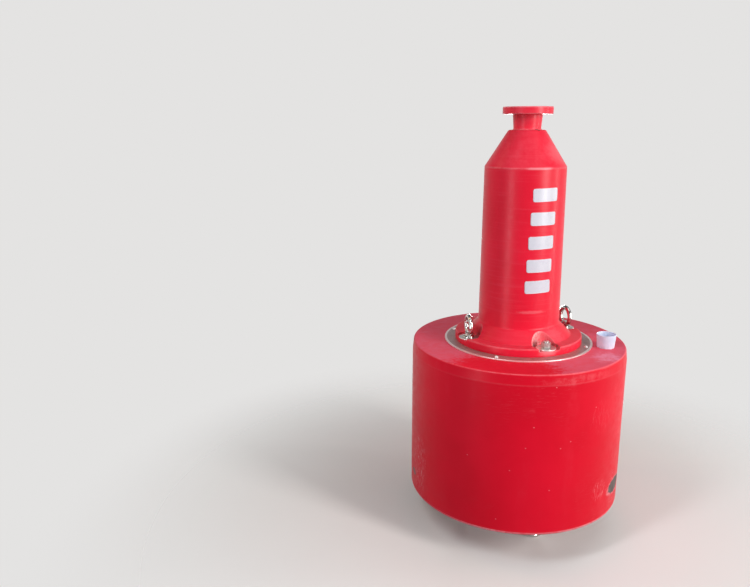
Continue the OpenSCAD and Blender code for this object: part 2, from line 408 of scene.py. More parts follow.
def startFinish(name, look):
    # a new material and its measures, the values over the surface that its layers go by
    material, tree = startMaterial(name)
    metres = addNode(tree, "ShaderNodeTexCoord").outputs["Object"]
    place = addNode(tree, "ShaderNodeVectorMath", {0: metres, "Scale": 1 / millimetre}, operation="SCALE")
    measure = {"place": place.outputs[0]}
    for take in look.get("measures", ()):
        take(tree, measure)
    for grain, (width, detail, roughness, *drawn) in look["grains"].items():
        stretch = drawn[0] if drawn else (1, 1, 1)
        turn = drawn[1] if len(drawn) > 1 else (0, 0, 0)
        mapped = addNode(tree, "ShaderNodeMapping", {
            "Vector": measure["place"], "Rotation": [math.radians(degrees) for degrees in turn],
            "Scale": [1 / (width * times) for times in stretch],
        })
        measure[grain] = addNode(tree, "ShaderNodeTexNoise", {
            "Vector": mapped.outputs[0], "Scale": 1.0, "Detail": detail, "Roughness": roughness,
        }).outputs["Fac"]
    for edge, (radius, height, width) in look.get("edges", {}).items():
        measureEdge(tree, measure, edge, radius, height, width)
    for spot, settings in look.get("spots", {}).items():
        measureSpot(tree, measure, spot, *settings)
    for mask, limits in look.get("masks", {}).items():
        measure[mask] = share(tree, measure, *limits)
    return material, tree, measure


def measureAxes(tree, measure):
    # how far to the right, to the back and above the floor
    parts = addNode(tree, "ShaderNodeSeparateXYZ", {0: measure["place"]}).outputs
    measure.update({"right": parts["X"], "back": parts["Y"], "up": parts["Z"]})


def measureReach(tree, measure):
    # distance from the buoy's axis
    flat = addNode(tree, "ShaderNodeVectorMath", {0: measure["place"], 1: (1, 1, 0)}, operation="MULTIPLY")
    reach = addNode(tree, "ShaderNodeVectorMath", {0: flat.outputs[0]}, operation="LENGTH")
    measure["reach"] = reach.outputs["Value"]


def measureStuds(tree, measure):
    # distance from the nearest stud's axis, seen from above: the four studs are folded onto one
    folded = addNode(tree, "ShaderNodeVectorMath", {0: measure["place"]}, operation="ABSOLUTE").outputs[0]
    parts = addNode(tree, "ShaderNodeSeparateXYZ", {0: folded}).outputs
    longer = addNode(tree, "ShaderNodeMath", {0: parts["X"], 1: parts["Y"]}, operation="MAXIMUM")
    shorter = addNode(tree, "ShaderNodeMath", {0: parts["X"], 1: parts["Y"]}, operation="MINIMUM")
    here = addNode(tree, "ShaderNodeCombineXYZ", {"X": longer.outputs[0], "Y": shorter.outputs[0]})
    measure["fromStud"] = addNode(tree, "ShaderNodeVectorMath", {
        0: here.outputs[0], 1: (studCircle, 0, 0),
    }, operation="DISTANCE").outputs["Value"]


def measureFacing(tree, measure):
    # 1 where the surface faces up, fading out to none on a slope of 53 degrees
    steepest, flattest = 0.6, 0.97
    normal = addNode(tree, "ShaderNodeNewGeometry").outputs["Normal"]
    measure["facing"] = addNode(tree, "ShaderNodeSeparateXYZ", {0: normal}).outputs["Z"]
    measure["isTop"] = share(tree, measure, ("facing", steepest, flattest))


def measureEdge(tree, measure, edge, radius, height, width):
    # 1 on an edge that runs round the axis, full over the middle of its width
    here = addNode(tree, "ShaderNodeCombineXYZ", {"X": measure["reach"], "Y": measure["up"]})
    measure["gap"] = addNode(tree, "ShaderNodeVectorMath", {
        0: here.outputs[0], 1: (radius, height, 0),
    }, operation="DISTANCE").outputs["Value"]
    fullWidth = 0.4               # share of the width
    measure[edge] = share(tree, measure, ("gap", width, fullWidth * width))


def measureSpot(tree, measure, spot, where, warp, start=1.0, full=0.6, deep=60):
    # 1 inside a ragged spot on a wall
    degrees, radius, height, wide, tall = where
    angle = math.radians(degrees)
    local = addNode(tree, "ShaderNodeMapping", {
        "Vector": measure["place"], "Rotation": (0, 0, angle), "Scale": (deep, wide, tall),
        "Location": onCircle(radius, angle, height),
    }, vector_type="TEXTURE")
    size = addNode(tree, "ShaderNodeVectorMath", {0: local.outputs[0]}, operation="LENGTH").outputs["Value"]
    swing = 0.9                   # how far the grain moves the outline: its middle value is a half
    measure["size"] = addNode(tree, "ShaderNodeMath", {
        0: measure[warp], 1: swing, 2: size,
    }, operation="MULTIPLY_ADD").outputs[0]
    measure[spot] = share(tree, measure, ("size", start + swing / 2, full + swing / 2))


def share(tree, measure, *limits):
    # how much of a layer its limits let show, from 0 to 1
    result = None
    for limit in limits:
        if isinstance(limit, tuple):
            name, start, full, *ends = limit
            least, most = ends or (0.0, 1.0)
            part = addNode(tree, "ShaderNodeMapRange", {
                "Value": measure[name], "From Min": start, "From Max": full, "To Min": least, "To Max": most,
            }, interpolation_type="SMOOTHSTEP").outputs["Result"]
        else:
            part = measure[limit]
        if result is not None:
            part = addNode(tree, "ShaderNodeMath", {0: result, 1: part}, operation="MULTIPLY").outputs[0]
        result = part
    return result


def layColours(tree, measure, colour, layers):
    # lays the colours over each other, each as far as its limits and strength let it show
    for over, strength, *limits in layers:
        amount = share(tree, measure, *limits)
        if strength < 1:
            thinned = addNode(tree, "ShaderNodeMath", {0: amount, 1: strength}, operation="MULTIPLY")
            amount = thinned.outputs[0]
        colour = addNode(tree, "ShaderNodeMix", {
            0: amount, 6: colour, 7: measure[over] if over in measure else hexToLinear(over),
        }, data_type="RGBA").outputs[2]
    return colour


def closeFinish(tree, measure, look):
    # colour, gloss and bumps come together in the shader
    roughness, grain, smoother, rougher, *duller = look["gloss"]
    grainSpan = (0.3, 0.72)       # most of a grain's values lie between these
    gloss = addNode(tree, "ShaderNodeMapRange", {
        "Value": measure[grain], "From Min": grainSpan[0], "From Max": grainSpan[1],
        "To Min": roughness - smoother, "To Max": roughness + rougher,
    }).outputs["Result"]
    for mask, amount in duller:
        gloss = addNode(tree, "ShaderNodeMath", {
            0: measure[mask], 1: amount, 2: gloss,
        }, operation="MULTIPLY_ADD").outputs[0]
    bumped = {}
    for name, rise in look["bumps"]:
        bump = addNode(tree, "ShaderNodeBump", {
            **bumped, "Height": measure[name], "Distance": rise * millimetre, "Strength": 1.0,
        })
        bumped = {"Normal": bump.outputs["Normal"]}
    colour = layColours(tree, measure, hexToLinear(look["pigment"]), look["layers"])
    closeMaterial(tree, addNode(tree, "ShaderNodeBsdfPrincipled", {
        **bumped, "Base Color": colour, "Roughness": gloss, **look["shader"],
    }))


rubbed = "#F59AA2"                # red plastic whitened by rubbing, also the pale pink of painted highlights on the float's edges
gougePlace = (310.0, 400, 234, 72, 31)

floatFinish = {
    "pigment": "#EC0F2E",
    "shader": {"IOR": 1.51, "Specular IOR Level": 0.16},
    "measures": (measureAxes, measureReach, measureFacing),
    "grains": {
        "cloud": (330, 4, 0.55),
        "mottle": (26, 5, 0.65),
        "speckle": (2.4, 2, 0.55),    # dust is finer than 0.5 mm, drawn coarse enough to show
        "warp": (17, 4, 0.7),
        "streak": (60, 4, 0.55, (1, 1, 7)),
        "swept": (9, 5, 0.55, (14, 1.2, 1), (0, 0, 24)),
        "uprightLines": (2.8, 2, 0.55, (1, 1, 8), (6.9, 5.7, 0)),    # scratches under 1 mm wide,
        "levelLines": (2.4, 2, 0.55, (12, 12, 1), (1.1, 1.7, 0)),    # drawn wider so that they show
        "torn": (22, 5, 0.75),
        "orangePeel": (3.2, 2, 0.55),
        "swell": (48, 2, 0.55),
    },
    "edges": {
        "topEdge": (394.5, 726.5, 3.6),
        "shoulder": (400.0, 690.0, 4.0),
        "bottomEdge": (400.0, 143.0, 6.5),
    },
    "spots": {
        # the front of the top, kept nearly clear of dust and of painted sheen
        "wiped": ((235.0, 345, 728, 250, 60), "warp", 1.0, 0.5, 170),
        # dust with a painted sheen beside the cap
        "capSide": ((304.0, 350, 728, 80, 60), "warp", 1.0, 0.2),
        "leftPatch": ((180.5, 400, 268, 66, 150), "warp"),
        # a smear under the top edge, partly a painted sheen on the shoulder
        "shoulderSmear": ((274.0, 398, 702, 190, 20), "warp", 1.0, 0.4),
        "middlePatch": ((288.5, 400, 545, 62, 70), "warp"),
        "patchByGouge": ((291.5, 400, 262, 50, 50), "warp"),
        "roundGouge": ((309.0, 400, 236, 84, 84), "warp"),
        "gougeLip": (gougePlace, "torn", 1.14, 0.94),
        "gougeFloor": (gougePlace, "torn", 0.9, 0.82),
        "nick": ((172.5, 400, 212, 26, 16), "warp", 0.9, 0.7),
    },
    "masks": {
        # dust on the top together with a painted sheen, thin on the front
        "dusty": ("isTop", ("wiped", 0.0, 1.0, 0.9, 0.03)),
        "broken": (("warp", 0.3, 0.6, 0.45, 1.0), ("cloud", 0.3, 0.65, 0.35, 1.0)),
        "upright": (("uprightLines", 0.57, 0.66),),
        "level": (("levelLines", 0.6, 0.68),),
        "leftScratches": ("upright", "leftPatch"),
    },
    "layers": (
        ("#E00A27", 1.0, ("cloud", 0.3, 0.7)),                              # the pigment isn't quite even
        ("#EA4454", 0.2, ("streak", 0.5, 0.78), ("mottle", 0.3, 0.75)),     # chalky haze down the wall
        ("#EA4454", 0.12, ("speckle", 0.6, 0.75)),
        ("#E27A92", 1.0, "dusty", ("mottle", 0.25, 0.8, 0.4, 0.74)),        # dust with a painted sheen, nearly none of either on the front
        ("#E08A92", 0.4, "dusty", ("swept", 0.56, 0.74)),                   # streaks swept in it
        ("#F8A6C2", 0.75, "isTop", "capSide", ("mottle", 0.2, 0.7)),        # more dust and a painted sheen by the cap
        (rubbed, 0.32, "topEdge", "broken"),       # edges rubbed where the float was rolled and dragged, with painted highlights along them
        (rubbed, 0.08, "shoulder", "broken"),
        (rubbed, 0.95, "bottomEdge", "broken"),
        (rubbed, 0.95, "leftScratches"),           # scratches and smears, each kept to its patch
        # pale smear under the top edge, partly painted sheen
        (rubbed, 0.2, "shoulderSmear", ("mottle", 0.3, 0.75)),
        (rubbed, 0.16, "middlePatch", "upright"),
        (rubbed, 0.5, "patchByGouge", "upright"),
        (rubbed, 0.8, "roundGouge", "level"),
        (rubbed, 0.07, "level", ("cloud", 0.54, 0.66)),
    ),
    "gougeLayers": (
        (rubbed, 0.5, "gougeLip"),                 # torn pale lip round a dirty hollow
        ("dirt", 1.0, "gougeFloor"),
        ("dirt", 0.8, "nick"),
    ),
    "dirt": ("#7A6F6C", "#645B58"),
    # degrees and height of pale specks, half width and half height of each, and how pale
    "specks": ((260.2, 684), (269.3, 484), (264.1, 463), (250.3, 543), (239.7, 381), (259.6, 309),
               (283.7, 591), (218.2, 411), (234.0, 190), (246.8, 467)),
    "speckReach": 400,
    "speckSize": (4.2, 3.4),
    "speckStrength": 0.55,
    "gloss": (0.36, "mottle", 0.05, 0.12, ("isTop", 0.26), ("gougeFloor", 0.4)),
    "bumps": (("orangePeel", 0.05), ("swell", 0.6), ("gougeFloor", -2.5), ("leftScratches", -0.285)),
}


def makeFloatPlastic():
    # rotationally moulded polyethylene: even pigment, waxy gloss with faint orange peel,
    # a chalky haze, dust with a painted sheen on the top, pale rubbed edges with painted highlights,
    # scratches and one dirty gouge
    look = floatFinish
    material, tree, measure = startFinish("rotomoulded red polyethylene, float", look)
    dark, darker = look["dirt"]
    measure["dirt"] = layColours(tree, measure, hexToLinear(dark), [(darker, 1.0, ("mottle", 0.35, 0.65))])
    specks = []
    for degrees, height in look["specks"]:
        name = "speck at %g degrees" % degrees
        where = (degrees, look["speckReach"], height, *look["speckSize"])
        measureSpot(tree, measure, name, where, "speckle", 0.8, 0.3)
        specks.append((rubbed, look["speckStrength"], name))
    closeFinish(tree, measure, {**look, "layers": (*look["layers"], *specks, *look["gougeLayers"])})
    return material


# pale pink of rubbed wear, also used for painted highlights and painted sheen
towerRubbed = "#F5A3AA"
towerHaze = "#EE5062"
footTop, pocketFloor = 814.0, 753.0                # heights of the skirt's top and the pockets' floor
pocketEdge = 47.0                                  # radius of a pocket round its stud

towerFinish = {
    "pigment": "#EE1838",
    "shader": {"IOR": 1.51, "Specular IOR Level": 0.28},
    "measures": (measureAxes, measureReach, measureStuds, measureFacing),
    "grains": {
        "cloud": (260, 4, 0.55),
        "mottle": (22, 5, 0.65),
        "warp": (9, 4, 0.7),
        "speckle": (2.2, 2, 0.55),            # finer in reality, drawn coarse enough to show
        "band": (7, 4, 0.55, (24, 24, 1)),    # level, along the ridges
        "scuffLines": (3.6, 4, 0.55, (1, 1, 3)),
        "drift": (90, 1, 0.55, (3, 3, 1)),
        "orangePeel": (2.6, 2, 0.55),
    },
    "edges": {
        "tubeTop": (146.0, 1380.0, 5.0),
        "tubeTopWide": (146.0, 1380.0, 6.0),
        "rim": (234.5, 761.5, 4.5),
        "lanternEdge": (87.5, 1587.0, 4.5),
        "lanternLowEdge": (87.5, 1563.0, 3.5),
        "neckFoot": (49.0, 1509.5, 3.0),
    },
    "spots": {
        # a painted highlight band on the front of the tube's top
        "tubeTopFront": ((261.0, 146, 1380, 56, 14), "warp", 1.0, 0.5),
        # a painted highlight streak low on the tube
        "smear": ((258.0, 149, 873, 62, 7), "warp", 1.0, 0.5),
        "neckNick": ((279.0, 58, 1508, 9, 5), "warp", 0.9, 0.5),
        # painted sheen on the cone's lit right side
        "coneChalk": ((302.0, 118, 1432, 62, 66), "warp", 1.1, 0.2),
        # painted sheen on the rim under the front nut
        "rimRub": ((268.0, 236, 747, 46, 18), "warp", 1.0, 0.2),
        # painted highlight on the skirt's lit right side
        "skirtChalk": ((289.0, 190, 796, 84, 48), "warp", 1.1, 0.2),
    },
    "masks": {
        "broken": (("warp", 0.3, 0.6, 0.3, 1.0),),
        "inPocket": (("up", footTop + 4, footTop - 4), ("up", pocketFloor - 1.5, pocketFloor - 0.3)),
        # pocket walls are scuffed pale, and the front pocket's left wall, which faces the light, carries
        # painted light over its scuffs: the rest is scuffed less
        "scuff": (("back", -120, -160, 0.15, 1.0), ("back", -247, -232), ("right", 16, -22, 0.22, 1.0),
                  ("scuffLines", 0.2, 0.6), "inPocket", ("fromStud", pocketEdge + 4.5, pocketEdge + 2.2),
                  ("fromStud", pocketEdge - 4, pocketEdge - 1)),
        "ridgedWall": (("up", footTop - 3, footTop + 6), ("up", 1508, 1500)),
    },
    "layers": (
        ("#E2122F", 1.0, ("cloud", 0.3, 0.7)),
        (towerHaze, 0.22, ("band", 0.5, 0.75)),
        ("#E2122F", 0.3, ("band", 0.5, 0.25)),
        (towerHaze, 0.12, ("speckle", 0.6, 0.75)),
        ("#DC6270", 1.0, "isTop", ("mottle", 0.3, 0.75, 0.1, 0.36)),                    # dust
        (towerHaze, 1.0, ("up", 1372, 1386), ("mottle", 0.25, 0.75, 0.1, 0.34)),        # paler from the cone's foot up
        # painted sheen and highlights: cone, skirt, a streak on the tube, the rim under the front nut
        (towerRubbed, 0.2, "coneChalk"),
        (towerRubbed, 0.2, "skirtChalk"),
        (towerRubbed, 0.2, "smear"),
        (towerRubbed, 0.35, "rimRub"),
        # pale edges: rubbed wear with painted highlights along them; on the front of the tube's top a
        # painted highlight band
        (towerRubbed, 0.5, "tubeTopWide", "tubeTopFront"),
        (towerRubbed, 0.16, "tubeTop", "broken"),
        (towerRubbed, 0.22, "rim", "broken"),
        (towerRubbed, 0.5, "lanternEdge", "broken"),
        (towerRubbed, 0.3, "lanternLowEdge", "broken"),
        (towerRubbed, 0.45, "neckFoot", "broken"),
        ("#F0ACAC", 0.92, "scuff"),                                                     # pocket walls: scuffs, with painted light on the front pocket's left wall
        # darker brown where a pocket's floor meets its wall
        ("#6E4A44", 0.75, "inPocket", ("up", pocketFloor + 17, pocketFloor + 4),
         ("fromStud", pocketEdge + 3, pocketEdge), ("fromStud", pocketEdge - 16, pocketEdge, 0.25, 1.0),
         ("warp", 0.38, 0.62)),
        ("#6E4A44", 0.7, "neckNick"),
    ),
    "ridgePitch": 5.2,            # level ridges left by the turned mould
    "ridgeDrift": 12.0,           # how far they wander up and down round the tower
    "gloss": (0.33, "band", 0.04, 0.12, ("isTop", 0.12)),
    "bumps": (("ridges", 0.05), ("band", 0.25), ("orangePeel", 0.04), ("scuff", -0.2)),
}


def makeTowerPlastic():
    # the same polyethylene out of a turned mould: fine level ridges all the way up, rubbed edges with
    # painted highlights, painted sheen on the lit side, and pockets whose walls are scuffed by spanners, one
    # wall painted light, darker brown where floor meets wall
    look = towerFinish
    material, tree, measure = startFinish("rotomoulded red polyethylene, tower", look)
    drift = addNode(tree, "ShaderNodeMath", {
        0: measure["drift"], 1: look["ridgeDrift"], 2: measure["up"],
    }, operation="MULTIPLY_ADD")
    turns = addNode(tree, "ShaderNodeMath", {
        0: drift.outputs[0], 1: 2 * math.pi / look["ridgePitch"],
    }, operation="MULTIPLY")
    measure["wave"] = addNode(tree, "ShaderNodeMath", {0: turns.outputs[0]}, operation="SINE").outputs[0]
    measure["ridges"] = share(tree, measure, "wave", "ridgedWall")
    closeFinish(tree, measure, look)
    return material


groundFrom = 267.0                # inside radius of the plate's ground edge and its painted highlight

plateFinish = {
    # the steel's colours are tinted pink: a painted reflection of the red plastic round it
    "pigment": "#A48482",
    "shader": {"Metallic": 0.8},
    "measures": (measureReach,),
    "grains": {
        "speckle": (1.6, 3, 0.7),     # pickled grain of about 0.2 mm, drawn coarse enough to show
        "patch": (34, 4, 0.55),
        "scratch": (0.9, 2, 0.55, (22, 1, 1), (0, 0, 34)),
        "pits": (3.4, 2, 0.55),
    },
    "masks": {"ground": (("reach", groundFrom, groundFrom + 2),)},
    "layers": (
        ("#D6B8B6", 1.0, ("speckle", 0.35, 0.68)),
        ("#9C7A6C", 0.45, ("patch", 0.5, 0.75)),        # oxide
        ("#FAE8E6", 0.5, ("scratch", 0.64, 0.72)),
        ("#FAE8E6", 0.6, ("pits", 0.68, 0.74)),
        # the ground edge near white: bright steel with a painted highlight
        ("#FAE8E6", 0.9, "ground"),
    ),
    "gloss": (0.44, "speckle", 0.06, 0.14, ("ground", -0.14)),
    "bumps": (("speckle", 0.06), ("scratch", -0.03)),
}


def makePlateSteel():
    # hot rolled stainless plate, pickled dull: speckled grey with a brown breath of oxide, tinted pink as a
    # painted reflection of the red plastic, fine handling scratches, and an outer edge ground bright with a
    # painted highlight
    material, tree, measure = startFinish("hot rolled stainless plate, pickled", plateFinish)
    closeFinish(tree, measure, plateFinish)
    return material


satinFinish = {
    "pigment": "#DEDBD8",
    "shader": {"Metallic": 0.86},
    "measures": (measureStuds,),
    "grains": {
        "patch": (7, 4, 0.55),
        "fine": (0.8, 2, 0.55),
    },
    "layers": (
        ("#BCB7B2", 1.0, ("patch", 0.35, 0.7)),
        ("#A08E80", 0.5, ("patch", 0.62, 0.8)),         # stain
        ("#F4F1EE", 1.0, ("fromStud", 32.5, 33.8)),     # painted highlight on a washer's outer edge
    ),
    "turningPitch": 0.9,              # tool marks about 0.2 mm apart, drawn coarser so that they show
    "gloss": (0.3, "fine", 0.05, 0.13),
    "bumps": (("rings", 0.012), ("fine", 0.02)),
}


def makeSatinSteel():
    # turned and tumbled stainless hardware: rings of the lathe tool round each stud, dull in the hollows,
    # with faint brown stains and a painted highlight on each washer's outer edge
    look = satinFinish
    material, tree, measure = startFinish("turned stainless steel, satin", look)
    turns = addNode(tree, "ShaderNodeMath", {
        0: measure["fromStud"], 1: 2 * math.pi / look["turningPitch"],
    }, operation="MULTIPLY")
    measure["rings"] = addNode(tree, "ShaderNodeMath", {0: turns.outputs[0]}, operation="SINE").outputs[0]
    closeFinish(tree, measure, look)
    return material


polishedFinish = {
    "pigment": "#D2CFCB",
    "shader": {"Metallic": 1.0},
    "measures": (measureStuds,),
    "grains": {
        "lump": (9, 2, 0.55),
        "film": (4, 4, 0.55),
        "polish": (0.7, 1, 0.55),     # polishing marks, finer in reality
    },
    "layers": (("#6B5F58", 0.55, ("fromStud", 21, 12), ("film", 0.45, 0.68)),),     # darker brown in the neck
    "gloss": (0.1, "film", 0.03, 0.12),
    "bumps": (("lump", 0.35), ("polish", 0.006)),
}


def makePolishedSteel():
    # drop forged stainless, barrel polished: mirror bright on the ring's crown, a soft lumpiness
    # that breaks reflections into light and dark streaks, and darker brown down in the neck
    material, tree, measure = startFinish("drop forged stainless steel, polished", polishedFinish)
    closeFinish(tree, measure, polishedFinish)
    return material


capFinish = {
    "pigment": "#E3EEFE",
    "shader": {"IOR": 1.49},
    "measures": (measureAxes,),
    "grains": {
        "flow": (12, 4, 0.55, (1, 1, 3)),
        "fine": (1.2, 2, 0.55),       # mould texture of about 0.2 mm, drawn coarse enough to show
    },
    "layers": (
        ("#D5E0F8", 1.0, ("flow", 0.3, 0.75)),
        ("#A8A0A4", 0.4, ("up", 743, 728), ("flow", 0.4, 0.7)),     # greyer at the foot
    ),
    "gloss": (0.42, "fine", 0.06, 0.1),
    "bumps": (("fine", 0.02), ("flow", 0.12)),
}


def makeCapPlastic():
    # injection moulded polypropylene, natural white with a cold tint: satin, with faint flow
    # lines and a little greyer at the foot
    material, tree, measure = startFinish("injection moulded white polypropylene", capFinish)
    closeFinish(tree, measure, capFinish)
    return material


sheetFinish = {
    "pigment": "#DFDFE8",
    "shader": {"IOR": 1.5},
    "grains": {"worn": (14, 4, 0.55)},
    "cell": 4.2,
    "cellRandomness": 0.12,
    "layers": (
        ("#BFC2CE", 1.0, ("cells", 0.12, 0.03)),        # lines between the cells
        ("#E3A9AC", 0.35, ("worn", 0.62, 0.78)),        # scuffs
    ),
    "gloss": (0.3, "worn", 0.08, 0.12),
    "bumps": (("cellRise", 0.03),),
}


def makeReflectiveSheet():
    # encapsulated lens sheeting: a clear glossy film over white cells in a diamond lattice about
    # 4 mm wide, scuffed a little pink by the red plastic round it
    look = sheetFinish
    material, tree, measure = startFinish("white encapsulated lens sheeting", look)
    # seen from the front the sheet runs along X and Z, and the cells are laid out on those two
    spread = addNode(tree, "ShaderNodeMapping", {
        "Vector": measure["place"], "Scale": (1 / look["cell"], 0.0, 1 / look["cell"]),
        "Rotation": (0, math.radians(45), 0),
    })
    measure["cells"] = addNode(tree, "ShaderNodeTexVoronoi", {
        "Vector": spread.outputs[0], "Scale": 1.0, "Randomness": look["cellRandomness"],
    }, feature="DISTANCE_TO_EDGE").outputs["Distance"]
    measure["cellRise"] = share(tree, measure, ("cells", 0.02, 0.14))
    closeFinish(tree, measure, look)
    return material


floatPlastic = makeFloatPlastic()
towerPlastic = makeTowerPlastic()
plateSteel = makePlateSteel()
satinSteel = makeSatinSteel()
polishedSteel = makePolishedSteel()
capPlastic = makeCapPlastic()
reflectiveSheet = makeReflectiveSheet()
print("materials ready")


# Float

floatShape = {
    "diameter": 800.0,
    "edgeRadius": 6.0,
    "shoulderHeight": 38.0,       # tapered band under the top edge
    "shoulderIn": 4.0,
    "shoulderRounding": 12.0,
    "taperLeft": 0.6,             # what is left of the taper just under the top edge
    "flatGuard": 6.0,             # how far a flat's and the wall's last points keep from the edges
    "wallGuard": 3.0,
    "sides": 256,
    "rowHeight": 16.0,
    "waviness": 1.0,              # how far the moulded wall wanders inwards
    "broadSwell": 1.4,
    "fineSwell": 4.5,
    "fineShare": 0.35,
    "swellStretch": 2.6,
    "swellMiddle": 0.45,
    "swellSpan": 0.5,
}


def makeFloat():
    shape = floatShape
    low, high = nodeHeights("float_body")
    radius, edge = shape["diameter"] / 2, shape["edgeRadius"]
    topRadius, shoulder = radius - shape["shoulderIn"], high - shape["shoulderHeight"]
    flat, guard = edge + shape["flatGuard"], shape["wallGuard"]
    wall = finePoints([(radius, low + edge + guard), (radius, shoulder - guard)], shape["rowHeight"])
    outline = roundedOutline([
        (0, low, 0), (radius - flat, low, 0), (radius, low, edge), *[(*point, 0) for point in wall],
        (radius, shoulder, shape["shoulderRounding"]),
        (topRadius + shape["taperLeft"], high - edge - guard, 0),
        (topRadius, high, edge), (topRadius - flat, high, 0), (0, high, 0),
    ])

    def wander(angle, reach, height):
        # inwards only, so the float keeps its outside diameter
        if reach < (topRadius - edge) * millimetre:
            return 0.0
        spot = Vector((math.cos(angle), math.sin(angle), height * shape["swellStretch"]))
        broad, fine = (noise.noise(spot * shape[name]) for name in ("broadSwell", "fineSwell"))
        inward = shape["swellMiddle"] + shape["swellSpan"] * (broad + shape["fineShare"] * fine)
        return shape["waviness"] * millimetre * min(1.0, max(0.0, inward))

    vertices, faces = latheMesh(inMetres(outline), shape["sides"], wander)
    finishPiece(makeObject("floatShell", vertices, faces, floatPlastic), "float", "float_body")


makeFloat()


# Tower: foot flange with four washer pockets, skirt, tube, cone, neck and lantern flange

towerShape = {
    "sides": 256,
    "rowHeight": 22.0,
    "guard": 1.5,
    "weld": 2e-6,                 # points closer than this, in metres, become one
    "sharpDegrees": 42.0,         # edges steeper than this are shaded sharp
    "flangeRadius": 236.0,
    "ledgeHeight": 30.0,
    "ledgeEdge": 5.75,
    "skirtRadius": 195.0,         # where the 45 degree skirt meets the ledge
    "skirtHollow": 1.6,           # softness of the hollows under and above the skirt
    "tubeHollow": 2.4,
    "skirtHead": 78.3,            # where the hollow above the skirt ends
    "tubeRadius": 150.0,
    "tubeTopRadius": 146.0,
    "tubeTopRounding": 5.0,
    "tubeHeight": 647.0,
    "coneHeight": 128.0,
    "coneTopRadius": 65.4,
    "coneTopRounding": 9.0,
    "neckRadius": 48.0,
    "neckTopRadius": 52.5,
    "neckRounding": 6.0,
    "neckHeight": 54.0,
    "lanternRadius": 88.5,
    "lanternHeight": 26.0,
    "lanternRounding": 3.0,
    "lanternTopRounding": 3.5,
    "lanternHoles": 4,
    "lanternHoleCircle": 70.5,
    "lanternHoleRadius": 6.0,
    "lanternHoleSides": 32,
    "lanternHoleTurn": 45.0,      # degrees from the right lifting eye
    "cutSpare": 5.0,              # how far the cutting pins stick out
    "pocketRadius": 47.0,
    "pocketDraft": 2.0,
    "pocketCorner": 4.0,          # softness between the pocket's wall and its seat
    "pocketLip": 4.0,
    "seatHeight": 20.0,
    "rimDip": 6.5,                # the rim's wall ends this far under seat or ledge, and changes
    "dipFrom": 5.5,               # from one to the other between these distances from a pocket
    "dipFade": 3.5,
}

# Where the foot has its points: closest where its surface bends
footGrid = {
    "rimInsets": (0, 0.25, 1, 2.2, 3.8, 5.5),
    "rings": (227, 220, 212, 204, 198.5, 196.5, 195.2, 194, 192, 186, 178, 170, 162, 156, 153.4, 152.2,
              151.2, 150.5),
    "rimRows": ((6.0, 0.0), (1.0, 0.0), (0.3, 0.3), (0.0, 1.0)),        # height and inset down the rim
    "patchColumns": 12,           # half width of the patch round a pocket, in columns of the tower
    "crossing": (0.03, 0.022, 0.034, 0.05),                             # angles round the place where a
    "crossingRays": (7, 14, 5),                                         # pocket's wall crosses the rim
    "seatRings": (10, 22, 34, 40, 43, 44.6, 45.6, 46.3, 46.8),          # from the stud outwards
    "wallShares": (0.05, 0.15, 0.3, 0.45, 0.6, 0.75, 0.87, 0.96),       # up the pocket's wall
    "lipRings": (0.25, 0.8, 1.5, 2.4, 3.6, 5.2),                        # outwards from its lip
    "outerShares": (0.33, 0.66),
    "leastStep": 0.33,
    "rimBorder": 0.05,            # points this close to the rim or the tube stay where they are
    "tubeBorder": 0.02,
    "lipRounds": 5,
    "settleRounds": 12,
}


def pocketDistance(x, y):
    # distance in plan from the nearest stud's axis
    x, y = np.abs(x), np.abs(y)
    return np.minimum(np.hypot(x - studCircle, y), np.hypot(x, y - studCircle))


def footDistance(points):
    # how far points lie from the foot's surface: flange, skirt and tube run into each other,
    # less the four pockets round the studs
    shape = towerShape
    x, y, up = points.T
    across = np.hypot(x, y)
    flange = smoothMost(across - shape["flangeRadius"], up - shape["ledgeHeight"], shape["ledgeEdge"])
    skirt = (across - shape["skirtRadius"] + up - shape["ledgeHeight"]) / math.sqrt(2)
    body = smoothLeast(flange, skirt, shape["skirtHollow"])
    body = smoothLeast(body, across - shape["tubeRadius"], shape["tubeHollow"])
    draft = math.radians(shape["pocketDraft"])
    drafted = shape["pocketRadius"] + (up - shape["seatHeight"]) * math.tan(draft)
    wall = (pocketDistance(x, y) - drafted) * math.cos(draft)
    pocket = smoothMost(wall, shape["seatHeight"] - up, shape["pocketCorner"])
    return smoothMost(body, -pocket, shape["pocketLip"])


def outerHeight(across):
    # height of the foot's outside without pockets
    shape = towerShape
    return min(shape["ledgeHeight"] + max(0.0, shape["skirtRadius"] - across), shape["skirtHead"])


def footRadii():
    # rings of the foot's top side, from rim to tube
    rim = towerShape["flangeRadius"]
    return [*[rim - inset for inset in footGrid["rimInsets"]], *footGrid["rings"], towerShape["tubeRadius"]]


def rimHeight(x, y):
    # where the rim's upright wall ends and its rounded edge begins
    shape = towerShape
    past = (pocketDistance(x, y) - shape["pocketRadius"] - shape["dipFrom"]) / shape["dipFade"]
    rise = min(1.0, max(0.0, past)) * (shape["ledgeHeight"] - shape["seatHeight"])
    return shape["seatHeight"] - shape["rimDip"] + rise


def borderHeight(x, y):
    across = math.hypot(x, y)
    if across < towerShape["tubeRadius"] + footGrid["tubeBorder"]:
        return towerShape["skirtHead"]
    isRim = across > towerShape["flangeRadius"] - footGrid["rimBorder"]
    return rimHeight(x, y) if isRim else outerHeight(across)


